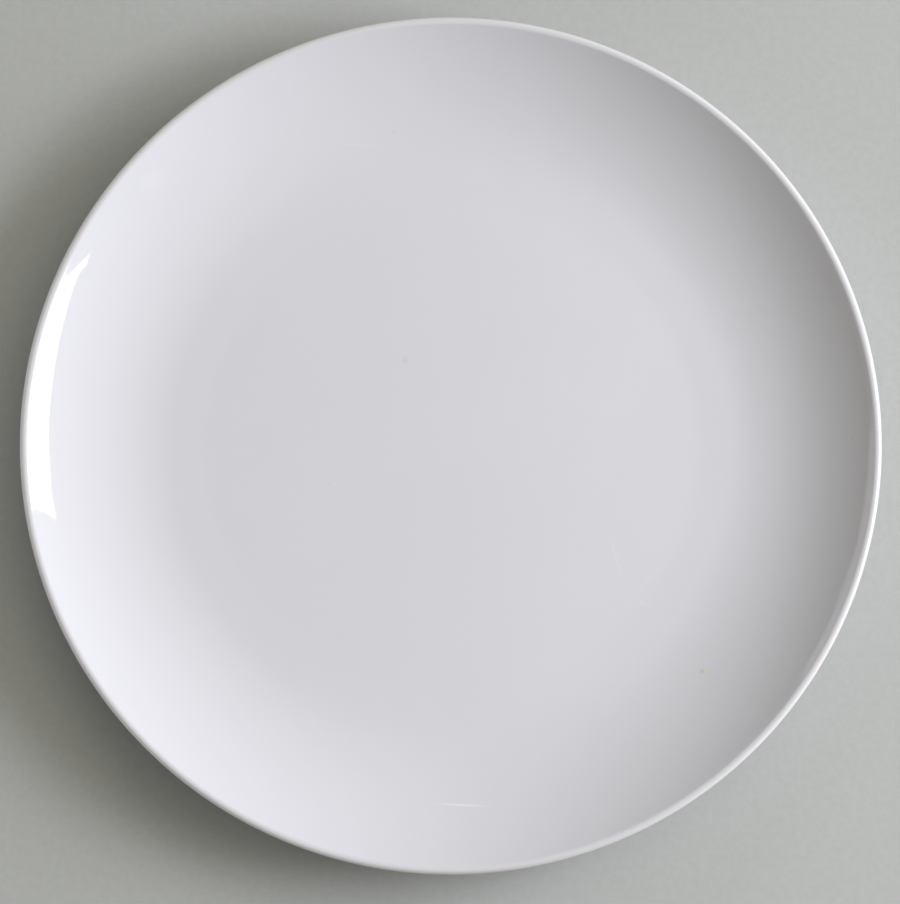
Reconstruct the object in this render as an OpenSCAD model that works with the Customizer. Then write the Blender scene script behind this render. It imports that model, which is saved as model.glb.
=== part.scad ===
// Coupe dinner plate: a fired clay body with an integral foot ring, and its three coats of glaze.
// The plate stands on the table plane, z = 0, with its axis on Z. Every piece is turned from an outline
// in the (radius, height) plane. The outside sizes are those of the glazed plate.

/* [Plate] */
// Diameter over the lip
plate_d = 270; // [250:1:300]
// Height from the table to the top of the lip
plate_h = 23; // [20:0.5:28]

/* [Eating face] */
// Width of the rising wall, from the edge of the flat well to the outside of the lip
wall_w = 58.5; // [52:0.5:65]
// Width of the soft edge round the well, where the face starts to rise
well_edge_run = 4; // [2:0.5:8]
// Width of the shallow flare between the well's edge and the wall
flare_run = 7.5; // [2:0.5:12]
// Slope of the flare, in degrees
flare_angle = 1.9; // [1:0.1:4]

/* [Lip] */
// Radius of the lip's outer nose
nose_r = 1.3; // [1:0.05:1.7]
// Radius of the roll from the wall up to the top of the lip
roll_r = 2.2; // [1.5:0.1:4]

/* [Base and back] */
// Thickness of the base under the well
base_t = 4.8; // [4:0.1:6.5]
// Height of the base's underside above the table, inside the foot ring
recess_h = 3.2; // [2.8:0.1:4.5]
// Height of the back above the table, where it leaves the foot ring
back_h = 3.2; // [3:0.1:5]
// Slope of the back where it leaves the foot ring, in degrees
back_angle = 0.5; // [0:0.5:5]

/* [Foot ring] */
// Distance of the middle of the ring's land inside the well's edge above it
foot_inset = 1.5; // [0:0.5:8]
// Width of the flat land that stands on the table
land_w = 2.2; // [1.4:0.1:3.5]
// Radius of the rounded edges beside the land
foot_edge_r = 0.8; // [0.4:0.1:1.2]
// Lean of the ring's two sides, in degrees from upright
foot_draft = 16; // [8:1:24]
// Radius of the fillets where the ring meets the base and the back
foot_fillet_r = 1.6; // [1:0.1:2]

/* [Glaze] */
// Thickness of the fired coats
glaze_t = 0.25; // [0.15:0.05:0.5]
// Height up to which the foot ring is wiped clean of glaze
wipe_h = 1.1; // [0.8:0.1:1.4]

/* [Hidden] */
$fn = 180;

// Largest turn between two points of an outline's arc, in degrees, on large and on small arcs
wall_step = 1.5;
edge_step = 12;

plate_r = plate_d / 2;
well_r = plate_r - wall_w;
foot_r = well_r - foot_inset;
well_z = recess_h + base_t;

// Soft edge of the well: an arc that leaves the well level and ends at the flare's slope
well_edge_r = well_edge_run / sin(flare_angle);
well_edge_c = [well_r, well_z + well_edge_r];
flare_start = well_edge_c + well_edge_r * down_normal(flare_angle);
wall_start = flare_start + flare_run * [1, tan(flare_angle)];

// The lip's nose and roll share the lip's topmost point
crest = [plate_r - nose_r, plate_h];
nose_c = crest - [0, nose_r];
roll_c = crest - [0, roll_r];

// Wall arc: goes on from the flare and touches the roll from outside
wall_gap = wall_start - roll_c;
wall_r = (roll_r * roll_r - wall_gap * wall_gap)
    / (2 * (-(wall_gap * down_normal(flare_angle)) - roll_r));
wall_c = wall_start - wall_r * down_normal(flare_angle);
wall_angle = slope_of(roll_c - wall_c);

// Foot ring: circles of the rounded edges, then of the fillets on the back and on the base
edge_out_c = [foot_r + land_w / 2, foot_edge_r];
edge_in_c = [foot_r - land_w / 2, foot_edge_r];
fillet_out_c = fillet_centre(edge_out_c, 1, back_h, back_angle);
fillet_in_c = fillet_centre(edge_in_c, -1, recess_h, 0);

// Back arc: leaves the outer fillet and runs round the lip's nose
back_start = fillet_out_c - foot_fillet_r * down_normal(back_angle);
back_gap = back_start - nose_c;
back_r = (nose_r * nose_r - back_gap * back_gap)
    / (2 * (-(back_gap * down_normal(back_angle)) + nose_r));
back_c = back_start - back_r * down_normal(back_angle);
back_lip_angle = slope_of(nose_c - back_c);

// Unit vector square to a surface of this slope, on its lower side
function down_normal(slope) = [sin(slope), -cos(slope)];

// Slope of a surface whose lower side faces along this vector
function slope_of(v) = atan2(v[0], -v[1]);

// Unit vector out of the foot ring's side: 1 is the outer side and -1 the inner
function side_normal(side) = [side * cos(foot_draft), -sin(foot_draft)];

// Unit vector up the foot ring's side
function side_up(side) = [side * sin(foot_draft), cos(foot_draft)];

// Centre of the fillet between a side of the foot ring and a surface at this height and slope
function fillet_centre(edge_c, side, height, slope) =
    let (start = edge_c + (foot_edge_r + glaze_t) * side_normal(side),
         centre_z = height - foot_fillet_r * cos(slope),
         end_z = centre_z + foot_fillet_r * sin(foot_draft),
         end = start + (end_z - start[1]) / cos(foot_draft) * side_up(side))
    end + foot_fillet_r * side_normal(side);

// Points of an arc about a centre, between two directions in degrees
function arc(centre, radius, from, to, step) =
    let (count = ceil(abs(to - from) / step))
    [for (i = [0 : count])
        let (a = from + (to - from) * i / count)
        centre + radius * [cos(a), sin(a)]];

// In the outlines below, inset is the depth under the glaze's outer surface

// Eating face, from the axis over the top of the lip to the plate's outermost line
function face_line(inset) = concat(
    [[0, well_z - inset]],
    arc(well_edge_c, well_edge_r + inset, -90, flare_angle - 90, wall_step),
    arc(wall_c, wall_r + inset, flare_angle - 90, wall_angle - 90, wall_step),
    arc(roll_c, roll_r - inset, wall_angle + 90, 90, edge_step),
    arc(nose_c, nose_r - inset, 90, 0, edge_step));

// Back, from the plate's outermost line to the edge of the wiped foot
function back_line(inset) = concat(
    arc(nose_c, nose_r - inset, 0, back_lip_angle - 90, edge_step),
    arc(back_c, back_r - inset, back_lip_angle - 90, back_angle - 90, wall_step),
    arc(fillet_out_c, foot_fillet_r + inset, back_angle + 90, 180 - foot_draft, edge_step),
    [wipe_point(edge_out_c, 1, inset)]);

// Base inside the foot ring, from the edge of the wiped foot to the axis
function base_line(inset) = concat(
    [wipe_point(edge_in_c, -1, inset)],
    arc(fillet_in_c, foot_fillet_r + inset, foot_draft, 90, edge_step),
    [[0, recess_h + inset]]);

// Bare foot: its outer edge, the land and its inner edge
foot_line = concat(
    arc(edge_out_c, foot_edge_r, -foot_draft, -90, edge_step),
    arc(edge_in_c, foot_edge_r, -90, foot_draft - 180, edge_step));

// Point at the wiped line on a side of the foot ring
function wipe_point(edge_c, side, inset) =
    let (start = edge_c + (foot_edge_r + glaze_t - inset) * side_normal(side))
    start + (wipe_h - start[1]) / cos(foot_draft) * side_up(side);

function reversed(points) = [for (i = [len(points) - 1 : -1 : 0]) points[i]];

// Coat of glaze between its outer line and the same line on the clay
module coat(outer, inner) {
    rotate_extrude()
        polygon(concat(outer, reversed(inner)));
}

module clay_body() {
    color("Ivory")
        rotate_extrude()
            polygon(concat(
                face_line(glaze_t),
                back_line(glaze_t),
                foot_line,
                base_line(glaze_t)));
}

module face_glaze() {
    color("WhiteSmoke")
        coat(face_line(0), face_line(glaze_t));
}

module back_glaze() {
    color("GhostWhite")
        coat(back_line(0), back_line(glaze_t));
}

module base_glaze() {
    color("GhostWhite")
        coat(base_line(0), base_line(glaze_t));
}

clay_body();
face_glaze();
back_glaze();
base_glaze();
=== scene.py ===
"""Dresses the coupe dinner plate: clear glaze over white clay, seen from above on a grey sheet of paper."""
import logging
import math
from dataclasses import dataclass
from enum import Enum

import bmesh
import bpy
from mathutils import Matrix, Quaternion, Vector


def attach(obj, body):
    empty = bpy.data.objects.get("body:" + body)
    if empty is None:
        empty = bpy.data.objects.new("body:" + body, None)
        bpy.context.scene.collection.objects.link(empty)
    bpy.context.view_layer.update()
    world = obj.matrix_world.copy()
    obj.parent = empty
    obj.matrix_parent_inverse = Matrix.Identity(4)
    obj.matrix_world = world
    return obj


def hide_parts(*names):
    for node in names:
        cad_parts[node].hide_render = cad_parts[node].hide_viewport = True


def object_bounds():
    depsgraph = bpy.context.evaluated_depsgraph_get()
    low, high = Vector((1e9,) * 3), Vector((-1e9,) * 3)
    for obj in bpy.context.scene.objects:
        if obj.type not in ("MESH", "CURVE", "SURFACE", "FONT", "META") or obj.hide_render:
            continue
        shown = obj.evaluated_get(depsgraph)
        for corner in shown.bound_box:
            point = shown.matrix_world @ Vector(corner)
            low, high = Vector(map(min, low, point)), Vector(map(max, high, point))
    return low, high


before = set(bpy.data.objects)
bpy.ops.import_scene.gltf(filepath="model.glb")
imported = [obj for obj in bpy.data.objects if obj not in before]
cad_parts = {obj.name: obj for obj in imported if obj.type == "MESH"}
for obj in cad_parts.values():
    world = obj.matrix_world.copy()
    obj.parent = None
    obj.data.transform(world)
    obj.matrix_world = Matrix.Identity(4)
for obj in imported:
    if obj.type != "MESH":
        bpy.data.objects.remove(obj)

CAD_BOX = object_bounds()
LOG = logging.getLogger("plate")
MM = 0.001
MERGE_DIST = MM / 1000
TURN_STEPS = 256

Socket = bpy.types.NodeSocket
Colour = tuple[float, float, float]
Span = tuple[float, float]


class Side(Enum):
    """The two sides of the foot ring, as signs of the radius."""

    OUTER = 1
    INNER = -1


class Layer(Enum):
    """Surfaces that the outlines follow: the glaze's outside, or the clay under it."""

    GLAZE = 0
    CLAY = 1


def down_normal(slope: float) -> Vector:
    """Gives the unit vector square to a surface, on its lower side.

    Args:
        slope: Slope of the surface, in degrees.

    Returns:
        The vector in the plane of radius and height.
    """
    angle = math.radians(slope)
    return Vector((math.sin(angle), -math.cos(angle)))


def slope_of(normal: Vector) -> float:
    """Gives the slope of a surface whose lower side faces along a vector.

    Args:
        normal: Vector in the plane of radius and height.

    Returns:
        The slope in degrees.
    """
    return math.degrees(math.atan2(normal.x, -normal.y))


@dataclass(frozen=True)
class Arc:
    """A round stretch of an outline, in mm and degrees, in the plane of radius and height."""

    centre: Vector
    radius: float
    start: float
    end: float
    step: float

    def first(self) -> Vector:
        """Gives the arc's first point."""
        angle = math.radians(self.start)
        return self.centre + self.radius * Vector((math.cos(angle), math.sin(angle)))

    def reverse(self) -> "Arc":
        """Gives the same arc, run from its other end."""
        return Arc(self.centre, self.radius, self.end, self.start, self.step)

    def count(self) -> int:
        """Gives the number of straight steps that stand for the arc."""
        return max(1, math.ceil(abs(self.end - self.start) / self.step))


@dataclass
class PlateOutline:
    """Sizes of the glazed plate, in mm and degrees, and the circles that follow from them."""

    plate_d: float
    plate_h: float
    wall_w: float = 58.5
    well_edge_run: float = 4.0
    flare_run: float = 7.5
    flare_angle: float = 1.9
    nose_r: float = 1.3
    roll_r: float = 2.2
    base_t: float = 4.8
    recess_h: float = 3.2
    back_h: float = 3.2
    back_angle: float = 0.5
    foot_inset: float = 1.5
    land_w: float = 2.2
    foot_edge_r: float = 0.8
    foot_draft: float = 16.0
    foot_fillet_r: float = 1.6
    glaze_t: float = 0.25
    wipe_h: float = 1.1
    well_edge_step: float = 0.225
    wall_step: float = 0.9
    edge_step: float = 3.0
    fillet_step: float = 6.0
    bead_step: float = 15.0
    hidden_step_ratio: float = 3.0

    def __post_init__(self) -> None:
        """Works out the circles of the face, the lip, the foot ring and the back."""
        self.plate_r = self.plate_d / 2
        self.well_r = self.plate_r - self.wall_w
        self.well_z = self.recess_h + self.base_t
        self._place_face()
        self._place_foot()
        self._place_back()

    def _place_face(self) -> None:
        """Places the well's edge, the wall's arc and the two circles of the lip."""
        self.well_edge_r = self.well_edge_run / math.sin(math.radians(self.flare_angle))
        self.well_edge_c = Vector((self.well_r, self.well_z + self.well_edge_r))
        flare_start = self.well_edge_c + self.well_edge_r * down_normal(self.flare_angle)
        flare_rise = self.flare_run * math.tan(math.radians(self.flare_angle))
        wall_start = flare_start + Vector((self.flare_run, flare_rise))
        crest = Vector((self.plate_r - self.nose_r, self.plate_h))
        self.nose_c = crest - Vector((0.0, self.nose_r))
        self.roll_c = crest - Vector((0.0, self.roll_r))
        gap = wall_start - self.roll_c
        normal = down_normal(self.flare_angle)
        self.wall_r = (self.roll_r**2 - gap.dot(gap)) / (2 * (-gap.dot(normal) - self.roll_r))
        self.wall_c = wall_start - self.wall_r * normal
        self.wall_angle = slope_of(self.roll_c - self.wall_c)

    def _place_foot(self) -> None:
        """Places the rounded edges of the foot ring and its two fillets."""
        foot_r = self.well_r - self.foot_inset
        self.edge_c = {
            side: Vector((foot_r + side.value * self.land_w / 2, self.foot_edge_r)) for side in Side
        }
        self.fillet_c = {
            Side.OUTER: self._fillet_centre(Side.OUTER, self.back_h, self.back_angle),
            Side.INNER: self._fillet_centre(Side.INNER, self.recess_h, 0.0),
        }

    def _place_back(self) -> None:
        """Places the arc of the back, from the outer fillet round to the lip's nose."""
        normal = down_normal(self.back_angle)
        back_start = self.fillet_c[Side.OUTER] - self.foot_fillet_r * normal
        gap = back_start - self.nose_c
        self.back_r = (self.nose_r**2 - gap.dot(gap)) / (2 * (-gap.dot(normal) + self.nose_r))
        self.back_c = back_start - self.back_r * normal
        self.back_lip_angle = slope_of(self.nose_c - self.back_c)

    def side_normal(self, side: Side) -> Vector:
        """Gives the unit vector out of a side of the foot ring."""
        angle = math.radians(self.foot_draft)
        return Vector((side.value * math.cos(angle), -math.sin(angle)))

    def side_up(self, side: Side) -> Vector:
        """Gives the unit vector up a side of the foot ring."""
        angle = math.radians(self.foot_draft)
        return Vector((side.value * math.sin(angle), math.cos(angle)))

    def side_point(self, side: Side, depth: float, height: float) -> Vector:
        """Gives a point on a side of the foot ring.

        Args:
            side: Side of the ring.
            depth: Depth under the glaze's outer surface.
            height: Height above the table.

        Returns:
            The point in the plane of radius and height.
        """
        start = self.edge_c[side] + (self.foot_edge_r + self.glaze_t - depth) * self.side_normal(side)
        rise = (height - start.y) / math.cos(math.radians(self.foot_draft))
        return start + rise * self.side_up(side)

    def _fillet_centre(self, side: Side, height: float, slope: float) -> Vector:
        """Gives the centre of the fillet between a side of the foot ring and what it carries.

        Args:
            side: Side of the ring.
            height: Height at which the carried surface leaves the fillet.
            slope: Slope of that surface, in degrees.

        Returns:
            The centre in the plane of radius and height.
        """
        centre_z = height - self.foot_fillet_r * math.cos(math.radians(slope))
        end_z = centre_z + self.foot_fillet_r * math.sin(math.radians(self.foot_draft))
        return self.side_point(side, 0.0, end_z) + self.foot_fillet_r * self.side_normal(side)

    def depth(self, layer: Layer) -> float:
        """Gives a layer's depth under the glaze's outer surface."""
        return layer.value * self.glaze_t

    def _arc(self, layer: Layer, centre: Vector, radius: float, start: float, end: float,
             step: float) -> Arc:
        """Makes an arc whose steps are wider where glaze hides it."""
        hidden = self.hidden_step_ratio if layer is Layer.CLAY else 1.0
        return Arc(centre, radius, start, end, step * hidden)

    def face_arcs(self, layer: Layer) -> list[Arc]:
        """Gives the arcs of the eating face, from the well's edge to the plate's outermost line.

        Args:
            layer: Surface that the arcs follow.

        Returns:
            The arcs in order; straight stretches join them.
        """
        inset = self.depth(layer)
        level, flare, steep = -90.0, self.flare_angle - 90, self.wall_angle - 90
        return [
            self._arc(layer, self.well_edge_c, self.well_edge_r + inset, level, flare, self.well_edge_step),
            self._arc(layer, self.wall_c, self.wall_r + inset, flare, steep, self.wall_step),
            self._arc(layer, self.roll_c, self.roll_r - inset, self.wall_angle + 90, 90, self.edge_step),
            self._arc(layer, self.nose_c, self.nose_r - inset, 90, 0, self.edge_step),
        ]

    def back_arcs(self, layer: Layer) -> list[Arc]:
        """Gives the arcs of the back, from the plate's outermost line to the foot ring's outer side.

        Args:
            layer: Surface that the arcs follow.

        Returns:
            The arcs in order; each goes on from the last.
        """
        inset = self.depth(layer)
        lip, foot = self.back_lip_angle - 90, self.back_angle - 90
        fillet_c = self.fillet_c[Side.OUTER]
        fillet_r = self.foot_fillet_r + inset
        return [
            self._arc(layer, self.nose_c, self.nose_r - inset, 0, lip, self.edge_step),
            self._arc(layer, self.back_c, self.back_r - inset, lip, foot, self.wall_step),
            self._arc(layer, fillet_c, fillet_r, foot + 180, 180 - self.foot_draft, self.fillet_step),
        ]

    def base_arc(self, layer: Layer) -> Arc:
        """Gives the fillet from the foot ring's inner side up to the base."""
        radius = self.foot_fillet_r + self.depth(layer)
        return self._arc(layer, self.fillet_c[Side.INNER], radius, self.foot_draft, 90, self.fillet_step)

    def foot_arcs(self) -> list[Arc]:
        """Gives the rounded edges beside the land.

        Returns:
            The outer edge, then the inner one.
        """
        outer, inner = self.edge_c[Side.OUTER], self.edge_c[Side.INNER]
        return [
            Arc(outer, self.foot_edge_r, -self.foot_draft, -90, self.fillet_step),
            Arc(inner, self.foot_edge_r, -90, self.foot_draft - 180, self.fillet_step),
        ]

    def bead(self, side: Side) -> Arc:
        """Gives the rounded end of a coat on the wiped foot.

        Args:
            side: Side of the ring.

        Returns:
            The arc from the coat's outside down to the clay.
        """
        centre = self.side_point(side, self.glaze_t, self.wipe_h + self.glaze_t)
        start = -self.foot_draft if side is Side.OUTER else self.foot_draft - 180
        return Arc(centre, self.glaze_t, start, start - side.value * 90, self.bead_step)


class Lathe:
    """Grows an outline in a mesh, step by step, and turns it about Z into a closed shell."""

    sharp_angle = math.radians(40)

    def __init__(self, start: Vector) -> None:
        """Starts the outline.

        Args:
            start: First point, in mm, in the plane of radius and height.
        """
        self.mesh = bmesh.new()
        self.first = self.mesh.verts.new(self._place(start))
        self.tip = self.first

    @staticmethod
    def _place(point: Vector) -> Vector:
        """Gives the place in the frame, in metres, of a point of the outline."""
        return Vector((point.x, 0.0, point.y)) * MM

    def line(self, end: Vector, steps: int = 1) -> "Lathe":
        """Adds a straight stretch.

        Args:
            end: Its last point.
            steps: Number of equal steps in it.

        Returns:
            The lathe itself.
        """
        stride = (self._place(end) - self.tip.co) / steps
        for _ in range(steps):
            grown = bmesh.ops.extrude_vert_indiv(self.mesh, verts=[self.tip])
            self.tip = grown["verts"][0]
            bmesh.ops.translate(self.mesh, verts=[self.tip], vec=stride)
        return self

    def arc(self, arc: Arc) -> "Lathe":
        """Adds a round stretch, after a straight one where the arc starts apart from the tip.

        Args:
            arc: The stretch to add.

        Returns:
            The lathe itself.
        """
        if (self._place(arc.first()) - self.tip.co).length > MERGE_DIST:
            self.line(arc.first())
        turned = bmesh.ops.spin(
            self.mesh,
            geom=[self.tip],
            cent=self._place(arc.centre),
            axis=(0, -1, 0),
            angle=math.radians(arc.end - arc.start),
            steps=arc.count(),
        )
        self.tip = turned["geom_last"][0]
        return self

    def arcs(self, arcs: list[Arc]) -> "Lathe":
        """Adds arcs in order.

        Args:
            arcs: The stretches to add.

        Returns:
            The lathe itself.
        """
        for arc in arcs:
            self.arc(arc)
        return self

    def reverse_arcs(self, arcs: list[Arc]) -> "Lathe":
        """Adds arcs from the last one's end to the first one's start.

        Args:
            arcs: The stretches to add.

        Returns:
            The lathe itself.
        """
        for arc in reversed(arcs):
            self.arc(arc.reverse())
        return self

    def close(self) -> "Lathe":
        """Joins the tip to the first point."""
        self.mesh.edges.new((self.tip, self.first))
        return self

    def turn(self, name: str) -> bpy.types.Object:
        """Turns the outline once round Z.

        Args:
            name: Name of the piece.

        Returns:
            The finished piece, linked to the scene.
        """
        bmesh.ops.spin(
            self.mesh,
            geom=self.mesh.verts[:] + self.mesh.edges[:],
            cent=(0, 0, 0),
            axis=(0, 0, 1),
            angle=math.tau,
            steps=TURN_STEPS,
            use_merge=True,
        )
        bmesh.ops.remove_doubles(self.mesh, verts=self.mesh.verts[:], dist=MERGE_DIST)
        bmesh.ops.recalc_face_normals(self.mesh, faces=self.mesh.faces[:])
        for face in self.mesh.faces:
            face.smooth = True
        for edge in self.mesh.edges:
            edge.smooth = edge.calc_face_angle(0.0) < self.sharp_angle
        data = bpy.data.meshes.new(name)
        self.mesh.to_mesh(data)
        self.mesh.free()
        piece = bpy.data.objects.new(name, data)
        bpy.context.scene.collection.objects.link(piece)
        return piece


@dataclass(frozen=True)
class Grain:
    """A noise: its number of features in a metre, its finer layers and the share of each."""

    scale: float
    detail: float
    roughness: float = 0.5


class NodeSheet:
    """Lays out and wires the nodes of one tree."""

    mix_first = 6
    mix_second = 7
    mix_result = 2

    def __init__(self, tree: bpy.types.NodeTree, place: str) -> None:
        """Starts on a tree that exists.

        Args:
            tree: The tree of a material or of the world.
            place: Name of the coordinates that patterns are fixed to.
        """
        self.tree = tree
        self.place = self.add("ShaderNodeTexCoord").outputs[place]

    def add(self, kind: str, **settings: str | bool) -> bpy.types.Node:
        """Adds a node.

        Args:
            kind: Blender's name for the node.
            **settings: Values of the node's own properties.

        Returns:
            The node.
        """
        node = self.tree.nodes.new(kind)
        for name, value in settings.items():
            setattr(node, name, value)
        return node

    def wire(self, target: Socket, source: Socket | float | tuple) -> None:
        """Links a socket to its source, or sets it where the source is a plain value.

        Args:
            target: Socket that takes the value.
            source: Where the value comes from.
        """
        if isinstance(source, Socket):
            self.tree.links.new(source, target)
        else:
            target.default_value = source

    def math(self, operation: str, first: Socket | float, second: Socket | float = 0.0) -> Socket:
        """Adds a Math node.

        Args:
            operation: Blender's name for the operation.
            first: First number.
            second: Second number, where the operation has one.

        Returns:
            The result.
        """
        node = self.add("ShaderNodeMath", operation=operation)
        self.wire(node.inputs[0], first)
        self.wire(node.inputs[1], second)
        return node.outputs[0]

    def vector(self, operation: str, first: Socket | tuple, second: Socket | tuple) -> bpy.types.Node:
        """Adds a Vector Math node.

        Args:
            operation: Blender's name for the operation.
            first: First vector.
            second: Second vector.

        Returns:
            The node, because its result is a number for some operations.
        """
        node = self.add("ShaderNodeVectorMath", operation=operation)
        self.wire(node.inputs[0], first)
        self.wire(node.inputs[1], second)
        return node

    def ramp(self, value: Socket, low: float, high: float, start: float = 0.0,
             end: float = 1.0) -> Socket:
        """Adds a smooth step.

        Args:
            value: Number to map.
            low: Value at which the step starts.
            high: Value at which it ends.
            start: Result up to low.
            end: Result from high on.

        Returns:
            The result.
        """
        node = self.add("ShaderNodeMapRange", interpolation_type="SMOOTHSTEP")
        for socket, number in zip(node.inputs[1:5], (low, high, start, end)):
            socket.default_value = number
        self.wire(node.inputs["Value"], value)
        return node.outputs["Result"]

    def noise(self, grain: Grain) -> Socket:
        """Adds a noise that is fixed to the object.

        Args:
            grain: The noise's settings.

        Returns:
            The noise, about 0.5 on average.
        """
        node = self.add("ShaderNodeTexNoise")
        self.wire(node.inputs["Vector"], self.place)
        node.inputs["Scale"].default_value = grain.scale
        node.inputs["Detail"].default_value = grain.detail
        node.inputs["Roughness"].default_value = grain.roughness
        return node.outputs["Fac"]

    def mix(self, share: Socket, first: Socket | Colour, second: Socket | Colour) -> Socket:
        """Adds a mix of two colours.

        Args:
            share: Share of the second colour.
            first: First colour.
            second: Second colour.

        Returns:
            The mixed colour.
        """
        node = self.add("ShaderNodeMix", data_type="RGBA")
        self.wire(node.inputs["Factor"], share)
        for place, colour in ((self.mix_first, first), (self.mix_second, second)):
            self.wire(node.inputs[place], colour if isinstance(colour, Socket) else (*colour, 1.0))
        return node.outputs[self.mix_result]

    def bump(self, height: Socket, depth: float, under: Socket | None = None) -> Socket:
        """Adds relief.

        Args:
            height: Height, from 0 to 1.
            depth: Real depth of a height of 1, in metres.
            under: Normal of the relief below this one.

        Returns:
            The new normal.
        """
        node = self.add("ShaderNodeBump")
        node.inputs["Distance"].default_value = depth
        self.wire(node.inputs["Height"], height)
        if under:
            self.wire(node.inputs["Normal"], under)
        return node.outputs["Normal"]

    def length(self, vector: Socket) -> Socket:
        """Gives the length of a vector."""
        return self.vector("LENGTH", vector, (0.0, 0.0, 0.0)).outputs["Value"]

    def radius(self) -> Socket:
        """Gives the distance from the plate's axis, in metres."""
        return self.length(self.vector("MULTIPLY", self.place, (1.0, 1.0, 0.0)).outputs[0])

    def height(self) -> Socket:
        """Gives the height above the table.

        Returns:
            The height in metres.
        """
        node = self.add("ShaderNodeSeparateXYZ")
        self.wire(node.inputs[0], self.place)
        return node.outputs["Z"]


class FinishSheet(NodeSheet):
    """Node sheet of a material, with its shader."""

    def __init__(self, name: str) -> None:
        """Makes the material.

        Args:
            name: Name of the material.
        """
        self.material = bpy.data.materials.new(name)
        self.material.use_nodes = True
        super().__init__(self.material.node_tree, "Object")
        self.shader = self.tree.nodes["Principled BSDF"]

    def shade(self, **values: Socket | float | Colour) -> None:
        """Sets or links the shader's sockets.

        Args:
            **values: A value for each socket, named in lower case with _ for spaces.
        """
        for socket in self.shader.inputs:
            value = values.get(socket.name.lower().replace(" ", "_"))
            if value is not None:
                self.wire(socket, (*value, 1.0) if isinstance(value, tuple) else value)


@dataclass(frozen=True)
class Mark:
    """A small mark on the eating face, as a soft ellipse in mm, turned by some degrees."""

    x: float
    y: float
    half_length: float
    half_width: float
    turn: float
    colour: Colour
    share: float
    core: float = 0.2

    def cover(self, sheet: NodeSheet) -> Socket:
        """Gives the mark's share of each point's colour.

        Args:
            sheet: Sheet of the material that bears the mark.

        Returns:
            The share, which fades towards the ellipse's edge.
        """
        node = sheet.add("ShaderNodeMapping", vector_type="TEXTURE")
        sheet.wire(node.inputs["Vector"], sheet.place)
        node.inputs["Location"].default_value = (self.x * MM, self.y * MM, 0.0)
        node.inputs["Rotation"].default_value = (0.0, 0.0, math.radians(self.turn))
        node.inputs["Scale"].default_value = (self.half_length * MM, self.half_width * MM, 1.0)
        return sheet.ramp(sheet.length(node.outputs[0]), self.core, 1.0, self.share, 0.0)


@dataclass(frozen=True)
class FaceMarks:
    """The marks of making and use that the eating face shows, and a painted highlight and a painted glint."""

    pinhole: Colour = (0.45, 0.44, 0.45)
    iron: Colour = (0.40, 0.39, 0.36)
    rust: Colour = (0.75, 0.77, 0.42)
    # Lighter colour of the fine scratches, also used for a painted highlight and a painted glint.
    scratch_and_highlight: Colour = (0.90, 0.90, 0.93)

    def all(self) -> list[Mark]:
        """Gives every mark.

        Returns:
            Pinholes, a fleck of iron with its halo, a painted highlight, fine scratches, then a painted glint
            along a scratch.
        """
        return [
            Mark(-14.4, 27.5, 1.6, 1.7, 0.0, self.pinhole, 0.17),
            Mark(-38.2, -12.2, 0.7, 0.6, 0.0, self.pinhole, 0.12),
            Mark(-18.1, 100.5, 0.7, 0.6, 0.0, self.pinhole, 0.14),
            Mark(-64.9, -62.2, 0.7, 0.5, 20.0, self.pinhole, 0.12),
            Mark(125.9, 1.3, 0.8, 0.5, 0.0, self.pinhole, 0.15),
            Mark(80.2, -71.3, 1.7, 1.3, 0.0, self.rust, 0.42),
            Mark(78.8, -71.5, 1.1, 0.9, 20.0, self.iron, 0.30),
            # Painted highlight: a faint bright patch on the upper left wall, lighter colour in place of
            # reflected light.
            Mark(-94.5, 83.0, 6.0, 4.0, 40.0, self.scratch_and_highlight, 0.16),
            Mark(52.4, -36.2, 11.0, 0.45, -73.5, self.scratch_and_highlight, 0.18),
            Mark(60.2, -49.4, 5.6, 0.45, -29.6, self.scratch_and_highlight, 0.18),
            Mark(63.3, -41.6, 9.4, 0.45, 43.0, self.scratch_and_highlight, 0.16),
            Mark(-28.2, 96.2, 10.4, 0.45, -1.9, self.scratch_and_highlight, 0.20),
            # Painted glint: a lighter line along a fine scratch on the lower wall, in place of the light that
            # the scratch catches.
            Mark(3.2, -113.3, 11.0, 0.5, -3.2, self.scratch_and_highlight, 0.62),
        ]


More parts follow.
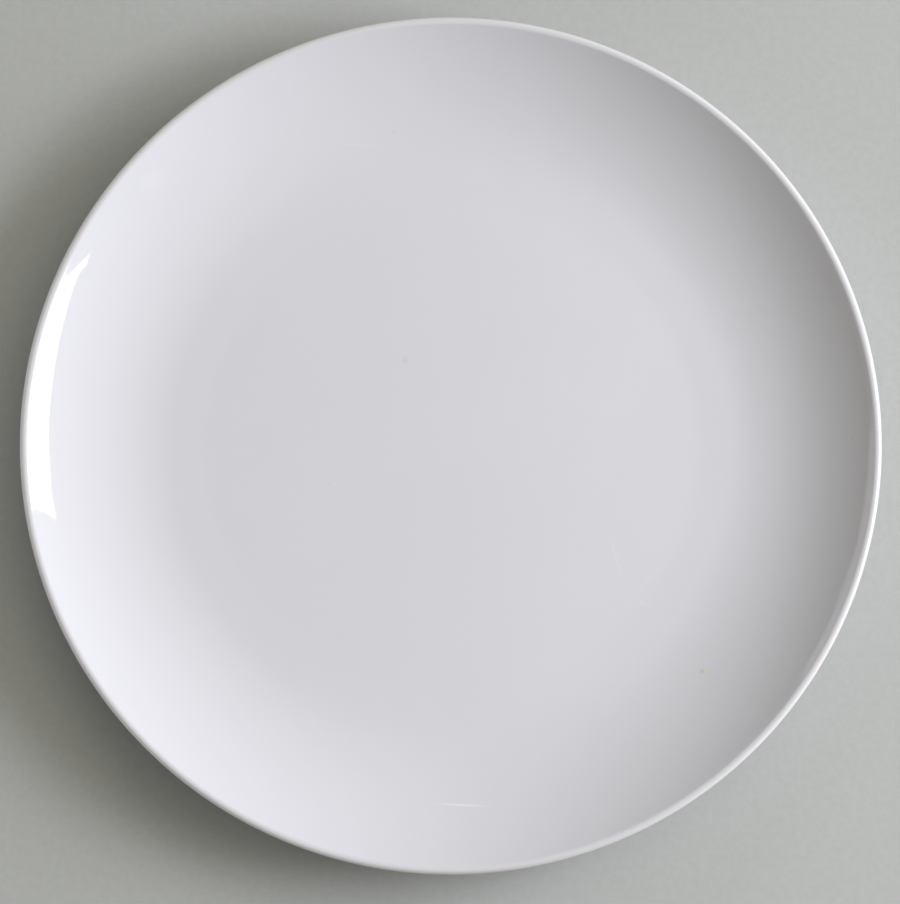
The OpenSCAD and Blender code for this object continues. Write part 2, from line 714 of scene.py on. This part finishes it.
@dataclass(frozen=True)
class GlazeFinish:
    """Clear gloss glaze over white clay: its tone, its flow, its thin and pooled places and its specks."""

    name: str
    marks: tuple[Mark, ...] = ()
    pool_r: float = 0.0
    pool_w: float = 0.0
    colour: Colour = (0.755, 0.747, 0.787)
    cloud_colour: Colour = (0.749, 0.741, 0.781)
    thin_colour: Colour = (0.735, 0.718, 0.715)
    pool_colour: Colour = (0.705, 0.717, 0.755)
    speck_colour: Colour = (0.55, 0.50, 0.45)
    roughness: float = 0.045
    worn_roughness: float = 0.085
    ior: float = 1.5
    cloud: Grain = Grain(22.0, 3.0)
    cloud_span: Span = (0.35, 0.65)
    wear: Grain = Grain(160.0, 6.0, 0.7)
    wear_span: Span = (0.5, 0.75)
    speck_scale: float = 45.0
    speck_size: float = 0.028
    speck_chance: Span = (0.72, 0.95)
    speck_share: float = 0.3
    ripple: Grain = Grain(75.0, 1.0)
    ripple_depth: float = 0.05 * MM
    flow: Grain = Grain(300.0, 1.0)
    flow_depth: float = 0.004 * MM
    peel: Grain = Grain(1100.0, 2.0)
    peel_depth: float = 0.0008 * MM
    thin_from: float = 2.2 * MM
    thin_to: float = 0.4 * MM

    def material(self, plate_r: float) -> bpy.types.Material:
        """Makes the material.

        Args:
            plate_r: Radius of the plate over the lip, in metres.

        Returns:
            The material.
        """
        sheet = FinishSheet(self.name)
        wear = sheet.noise(self.wear)
        sheet.shade(
            ior=self.ior,
            roughness=sheet.ramp(wear, *self.wear_span, self.roughness, self.worn_roughness),
            base_color=self.tone(sheet, plate_r),
            normal=self.relief(sheet),
        )
        return sheet.material

    def tone(self, sheet: FinishSheet, plate_r: float) -> Socket:
        """Gives the colour, with its clouds, its thin and pooled places, its specks and its marks.

        Args:
            sheet: Sheet of the material.
            plate_r: Radius of the plate over the lip, in metres.

        Returns:
            The colour.
        """
        cloud = sheet.ramp(sheet.noise(self.cloud), *self.cloud_span)
        colour = sheet.mix(cloud, self.colour, self.cloud_colour)
        if self.pool_w:
            from_pool = sheet.math("ABSOLUTE", sheet.math("SUBTRACT", sheet.radius(), self.pool_r))
            colour = sheet.mix(sheet.ramp(from_pool, 0.0, self.pool_w, 1.0, 0.0), colour, self.pool_colour)
        thin = sheet.ramp(sheet.radius(), plate_r - self.thin_from, plate_r - self.thin_to)
        colour = sheet.mix(thin, colour, self.thin_colour)
        colour = sheet.mix(self.specks(sheet), colour, self.speck_colour)
        # Among the marks are a painted highlight and a painted glint.
        for mark in self.marks:
            colour = sheet.mix(mark.cover(sheet), colour, mark.colour)
        return colour

    def specks(self, sheet: FinishSheet) -> Socket:
        """Gives the few tiny specks that any fired clay holds.

        Args:
            sheet: Sheet of the material.

        Returns:
            Their share of each point's colour.
        """
        cells = sheet.add("ShaderNodeTexVoronoi")
        sheet.wire(cells.inputs["Vector"], sheet.place)
        cells.inputs["Scale"].default_value = self.speck_scale
        chance = sheet.add("ShaderNodeSeparateColor")
        sheet.wire(chance.inputs[0], cells.outputs["Color"])
        dot = sheet.ramp(cells.outputs["Distance"], 0.0, self.speck_size, 1.0, 0.0)
        kept = sheet.ramp(chance.outputs["Red"], *self.speck_chance, 0.0, self.speck_share)
        return sheet.math("MULTIPLY", dot, kept)

    def relief(self, sheet: FinishSheet) -> Socket:
        """Gives the glaze's slow ripple, its flow and its fine peel.

        Args:
            sheet: Sheet of the material.

        Returns:
            The normal.
        """
        ripple = sheet.bump(sheet.noise(self.ripple), self.ripple_depth)
        flow = sheet.bump(sheet.noise(self.flow), self.flow_depth, ripple)
        return sheet.bump(sheet.noise(self.peel), self.peel_depth, flow)


@dataclass(frozen=True)
class BiscuitFinish:
    """Bare fired clay of the wiped foot: matte, gritty and a little worn where it stands."""

    name: str = "bare_clay"
    colour: Colour = (0.66, 0.61, 0.53)
    grit_colour: Colour = (0.52, 0.46, 0.38)
    worn_colour: Colour = (0.42, 0.39, 0.35)
    roughness: float = 0.82
    grit: Grain = Grain(1400.0, 4.0, 0.6)
    grit_span: Span = (0.45, 0.75)
    grit_depth: float = 0.02 * MM
    wear: Grain = Grain(60.0, 3.0)
    wear_span: Span = (0.42, 0.62)
    wear_height: float = 0.15 * MM

    def material(self) -> bpy.types.Material:
        """Makes the material.

        Returns:
            The material.
        """
        sheet = FinishSheet(self.name)
        grit = sheet.noise(self.grit)
        low = sheet.ramp(sheet.height(), 0.0, self.wear_height, 1.0, 0.0)
        patch = sheet.ramp(sheet.noise(self.wear), *self.wear_span)
        body = sheet.mix(sheet.ramp(grit, *self.grit_span), self.colour, self.grit_colour)
        worn = sheet.mix(sheet.math("MULTIPLY", low, patch), body, self.worn_colour)
        sheet.shade(roughness=self.roughness, base_color=worn, normal=sheet.bump(grit, self.grit_depth))
        return sheet.material


@dataclass(frozen=True)
class PaperFinish:
    """Plain grey paper under the plate, with a faint grain."""

    name: str = "paper"
    colour: Colour = (0.505, 0.515, 0.498)
    grain_colour: Colour = (0.481, 0.491, 0.474)
    roughness: float = 0.9
    grain: Grain = Grain(420.0, 5.0, 0.65)
    grain_span: Span = (0.35, 0.65)
    grain_depth: float = 0.02 * MM

    def material(self) -> bpy.types.Material:
        """Makes the material.

        Returns:
            The material.
        """
        sheet = FinishSheet(self.name)
        grain = sheet.noise(self.grain)
        colour = sheet.mix(sheet.ramp(grain, *self.grain_span), self.colour, self.grain_colour)
        sheet.shade(roughness=self.roughness, base_color=colour, normal=sheet.bump(grain, self.grain_depth))
        return sheet.material


@dataclass
class Plate:
    """The plate's four pieces: the clay and its three coats of glaze."""

    outline: PlateOutline
    body: str = "root"
    pool_w: float = 2.5

    def build(self) -> None:
        """Makes, dresses and declares every piece."""
        o = self.outline
        pool_w = self.pool_w * MM
        plate_r = o.plate_r * MM
        face = GlazeFinish("face_glaze", tuple(FaceMarks().all()))
        back = GlazeFinish("back_glaze", pool_r=o.fillet_c[Side.OUTER].x * MM, pool_w=pool_w)
        base = GlazeFinish("base_glaze", pool_r=o.fillet_c[Side.INNER].x * MM, pool_w=pool_w)
        self.declare(self.face_coat(), "face_glaze", face.material(plate_r))
        self.declare(self.back_coat(), "back_glaze", back.material(plate_r))
        self.declare(self.base_coat(), "base_glaze", base.material(plate_r))
        self.declare(self.clay_core(), "clay_body", BiscuitFinish().material())

    def declare(self, piece: bpy.types.Object, node: str, finish: bpy.types.Material) -> None:
        """Gives a piece its finish and says what it stands for.

        Args:
            piece: The piece.
            node: Node that it replaces.
            finish: Its material.
        """
        piece.data.materials.append(finish)
        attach(piece, self.body)
        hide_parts(node)
        LOG.info("%s stands for %s with %d faces", piece.name, node, len(piece.data.polygons))

    def face_coat(self) -> bpy.types.Object:
        """Builds the glaze of the eating face, up over the lip.

        Returns:
            The coat.
        """
        o = self.outline
        lathe = Lathe(Vector((0.0, o.well_z)))
        lathe.arcs(o.face_arcs(Layer.GLAZE))
        lathe.reverse_arcs(o.face_arcs(Layer.CLAY))
        return lathe.line(Vector((0.0, o.well_z - o.glaze_t))).turn("face_coat")

    def back_coat(self) -> bpy.types.Object:
        """Builds the glaze of the back, down to its bead on the foot ring's outer side.

        Returns:
            The coat.
        """
        o = self.outline
        arcs = o.back_arcs(Layer.GLAZE)
        lathe = Lathe(arcs[0].first()).arcs(arcs).arc(o.bead(Side.OUTER))
        return lathe.reverse_arcs(o.back_arcs(Layer.CLAY)).close().turn("back_coat")

    def base_coat(self) -> bpy.types.Object:
        """Builds the disc of glaze inside the foot ring, with its bead on the ring's inner side.

        Returns:
            The coat.
        """
        o = self.outline
        lathe = Lathe(Vector((0.0, o.recess_h)))
        lathe.arc(o.base_arc(Layer.GLAZE).reverse()).arc(o.bead(Side.INNER))
        lathe.arc(o.base_arc(Layer.CLAY))
        return lathe.line(Vector((0.0, o.recess_h + o.glaze_t))).turn("base_coat")

    def clay_core(self) -> bpy.types.Object:
        """Builds the clay under the glaze, with its bare foot.

        Returns:
            The clay.
        """
        o = self.outline
        lathe = Lathe(Vector((0.0, o.well_z - o.glaze_t)))
        lathe.arcs(o.face_arcs(Layer.CLAY)).arcs(o.back_arcs(Layer.CLAY))
        lathe.arcs(o.foot_arcs()).arc(o.base_arc(Layer.CLAY))
        return lathe.line(Vector((0.0, o.recess_h + o.glaze_t))).turn("clay_core")


def direction(azimuth: float, elevation: float) -> Vector:
    """Gives the unit vector from the plate towards a place in the room.

    Args:
        azimuth: Angle round Z from +X, in degrees.
        elevation: Angle above the table, in degrees.

    Returns:
        The vector.
    """
    turn, lift = math.radians(azimuth), math.radians(elevation)
    return Vector((math.cos(lift) * math.cos(turn), math.cos(lift) * math.sin(turn), math.sin(lift)))


@dataclass(frozen=True)
class Lamp:
    """A flat soft lamp: its place and its look down in degrees, its size in metres and its light."""

    name: str
    azimuth: float
    elevation: float
    tilt: float
    width: float
    height: float
    radiance: float
    colour: Colour
    mirrored: bool = False
    lights: bool = True
    roll: float = 0.0
    distance: float = 1.4

    def hang(self) -> None:
        """Hangs the lamp. Only a mirrored one shows in the glaze, and none shows to the camera."""
        light = bpy.data.lights.new(self.name, "AREA")
        light.shape = "RECTANGLE"
        light.size, light.size_y = self.width, self.height
        light.energy = self.radiance * self.width * self.height * math.pi
        light.color = self.colour
        lamp = bpy.data.objects.new(self.name, light)
        bpy.context.scene.collection.objects.link(lamp)
        lamp.location = direction(self.azimuth, self.elevation) * self.distance
        lamp.rotation_mode = "QUATERNION"
        facing = (-direction(self.azimuth, self.tilt)).to_track_quat("-Z", "Y")
        lamp.rotation_quaternion = facing @ Quaternion((0.0, 0.0, 1.0), math.radians(self.roll))
        lamp.visible_camera = False
        lamp.visible_glossy = self.mirrored
        lamp.visible_diffuse = self.lights


@dataclass(frozen=True)
class Glow:
    """Soft light from one side of the room, strongest along its direction."""

    azimuth: float
    elevation: float
    strength: float
    colour: Colour


@dataclass
class Studio:
    """Paper floor, soft light and the camera of the photograph."""

    outline: PlateOutline
    floor_half: float = 4.0
    backdrop: Colour = (0.45, 0.46, 0.45)
    glow_power: float = 4.0
    box_tilt: float = 50.0
    far: float = 2.8
    cool: Colour = (0.955, 0.98, 1.08)
    warm: Colour = (1.05, 1.025, 0.91)
    plain: Colour = (1.0, 1.0, 1.0)
    camera_elevation: float = 84.16
    camera_distance: float = 1.3
    lens: float = 165.3
    aim: tuple[float, float] = (-0.26 * MM, -3.29 * MM)

    def lamps(self) -> list[Lamp]:
        """Gives the lamps round the plate.

        Returns:
            The softbox with the corner and flap of its slanted end, the soft light under and beside it, the
            far side's card, a card on the left that only the glaze mirrors, and a low one level with the lip.
        """
        return [
            Lamp("softbox", azimuth=2.3, elevation=31.5, tilt=self.box_tilt,
                 width=0.602, height=0.495, radiance=13.3, colour=self.cool, mirrored=True),
            Lamp("softbox_corner", azimuth=-15.6, elevation=38.75, tilt=self.box_tilt,
                 width=0.05, height=0.072, radiance=13.4, colour=self.cool, mirrored=True),
            Lamp("softbox_flap", azimuth=-16.3, elevation=37.85, tilt=self.box_tilt, roll=33.0,
                 width=0.038, height=0.21, radiance=13.4, colour=self.cool, mirrored=True),
            Lamp("low_light", azimuth=0.0, elevation=15.0, tilt=15.0, distance=self.far,
                 width=1.758, height=0.49, radiance=5.9, colour=self.cool),
            Lamp("side_light", azimuth=24.75, elevation=26.0, tilt=26.0, distance=self.far,
                 width=0.64, height=0.788, radiance=9.4, colour=self.cool),
            Lamp("far_card", azimuth=105.0, elevation=35.0, tilt=35.0, distance=self.far,
                 width=1.23, height=0.588, radiance=1.9, colour=self.warm),
            Lamp("left_card", azimuth=155.0, elevation=28.4, tilt=28.4, roll=8.0,
                 width=1.4, height=0.2, radiance=1.6, colour=self.plain, mirrored=True, lights=False),
            Lamp("floor_card", azimuth=178.0, elevation=0.39, tilt=0.0, distance=self.far,
                 width=2.8, height=0.03, radiance=115.0, colour=self.cool),
        ]

    def glows(self) -> list[Glow]:
        """Gives the soft light that the room sends back.

        Returns:
            The glow from above on the right, then the one from the front.
        """
        return [
            Glow(azimuth=30.0, elevation=55.0, strength=1.2, colour=self.warm),
            Glow(azimuth=270.0, elevation=20.0, strength=0.4, colour=self.warm),
        ]

    def build(self) -> None:
        """Makes the floor, the light and the camera."""
        bpy.context.scene.view_settings.view_transform = "Standard"
        self.floor()
        for lamp in self.lamps():
            lamp.hang()
        self.room()
        self.camera()

    def floor(self) -> None:
        """Lays the sheet of paper that the plate stands on."""
        sheet_mesh = bmesh.new()
        bmesh.ops.create_grid(sheet_mesh, x_segments=1, y_segments=1, size=self.floor_half)
        data = bpy.data.meshes.new("paper")
        sheet_mesh.to_mesh(data)
        sheet_mesh.free()
        paper = bpy.data.objects.new("paper", data)
        bpy.context.scene.collection.objects.link(paper)
        data.materials.append(PaperFinish().material())

    def room(self) -> None:
        """Sets the glows of the room, behind a plain backdrop for what looks straight or mirrored at it."""
        world = bpy.data.worlds.new("room")
        world.use_nodes = True
        bpy.context.scene.world = world
        sheet = NodeSheet(world.node_tree, "Generated")
        total: Socket | tuple = (0.0, 0.0, 0.0)
        for glow in self.glows():
            towards = tuple(direction(glow.azimuth, glow.elevation))
            facing = sheet.vector("DOT_PRODUCT", sheet.place, towards).outputs["Value"]
            amount = sheet.math("POWER", sheet.math("MAXIMUM", facing, 0.0), self.glow_power)
            light = sheet.vector("SCALE", glow.colour, (0.0, 0.0, 0.0))
            sheet.wire(light.inputs["Scale"], sheet.math("MULTIPLY", amount, glow.strength))
            total = sheet.vector("ADD", light.outputs[0], total).outputs[0]
        path = sheet.add("ShaderNodeLightPath").outputs
        seen = sheet.math("MAXIMUM", path["Is Camera Ray"], path["Is Glossy Ray"])
        seen = sheet.math("MAXIMUM", seen, path["Is Transmission Ray"])
        background = world.node_tree.nodes["Background"]
        sheet.wire(background.inputs["Color"], sheet.mix(seen, total, self.backdrop))

    def camera(self) -> None:
        """Stands the camera where the photograph was taken."""
        data = bpy.data.cameras.new("camera")
        data.lens = self.lens
        camera = bpy.data.objects.new("camera", data)
        bpy.context.scene.collection.objects.link(camera)
        elevation = math.radians(self.camera_elevation)
        back = Vector((0.0, -math.cos(elevation), math.sin(elevation)))
        lip = Vector((*self.aim, (self.outline.plate_h - self.outline.nose_r) * MM))
        camera.location = lip + back * self.camera_distance
        camera.rotation_mode = "QUATERNION"
        camera.rotation_quaternion = (-back).to_track_quat("-Z", "Y")
        bpy.context.scene.camera = camera


def main() -> None:
    """Builds the plate and its setting."""
    logging.basicConfig(level=logging.INFO, format="%(name)s: %(message)s")
    low, high = CAD_BOX
    outline = PlateOutline((high.x - low.x) / MM, (high.z - low.z) / MM)
    Plate(outline).build()
    Studio(outline).build()


if __name__ == "__main__":
    main()
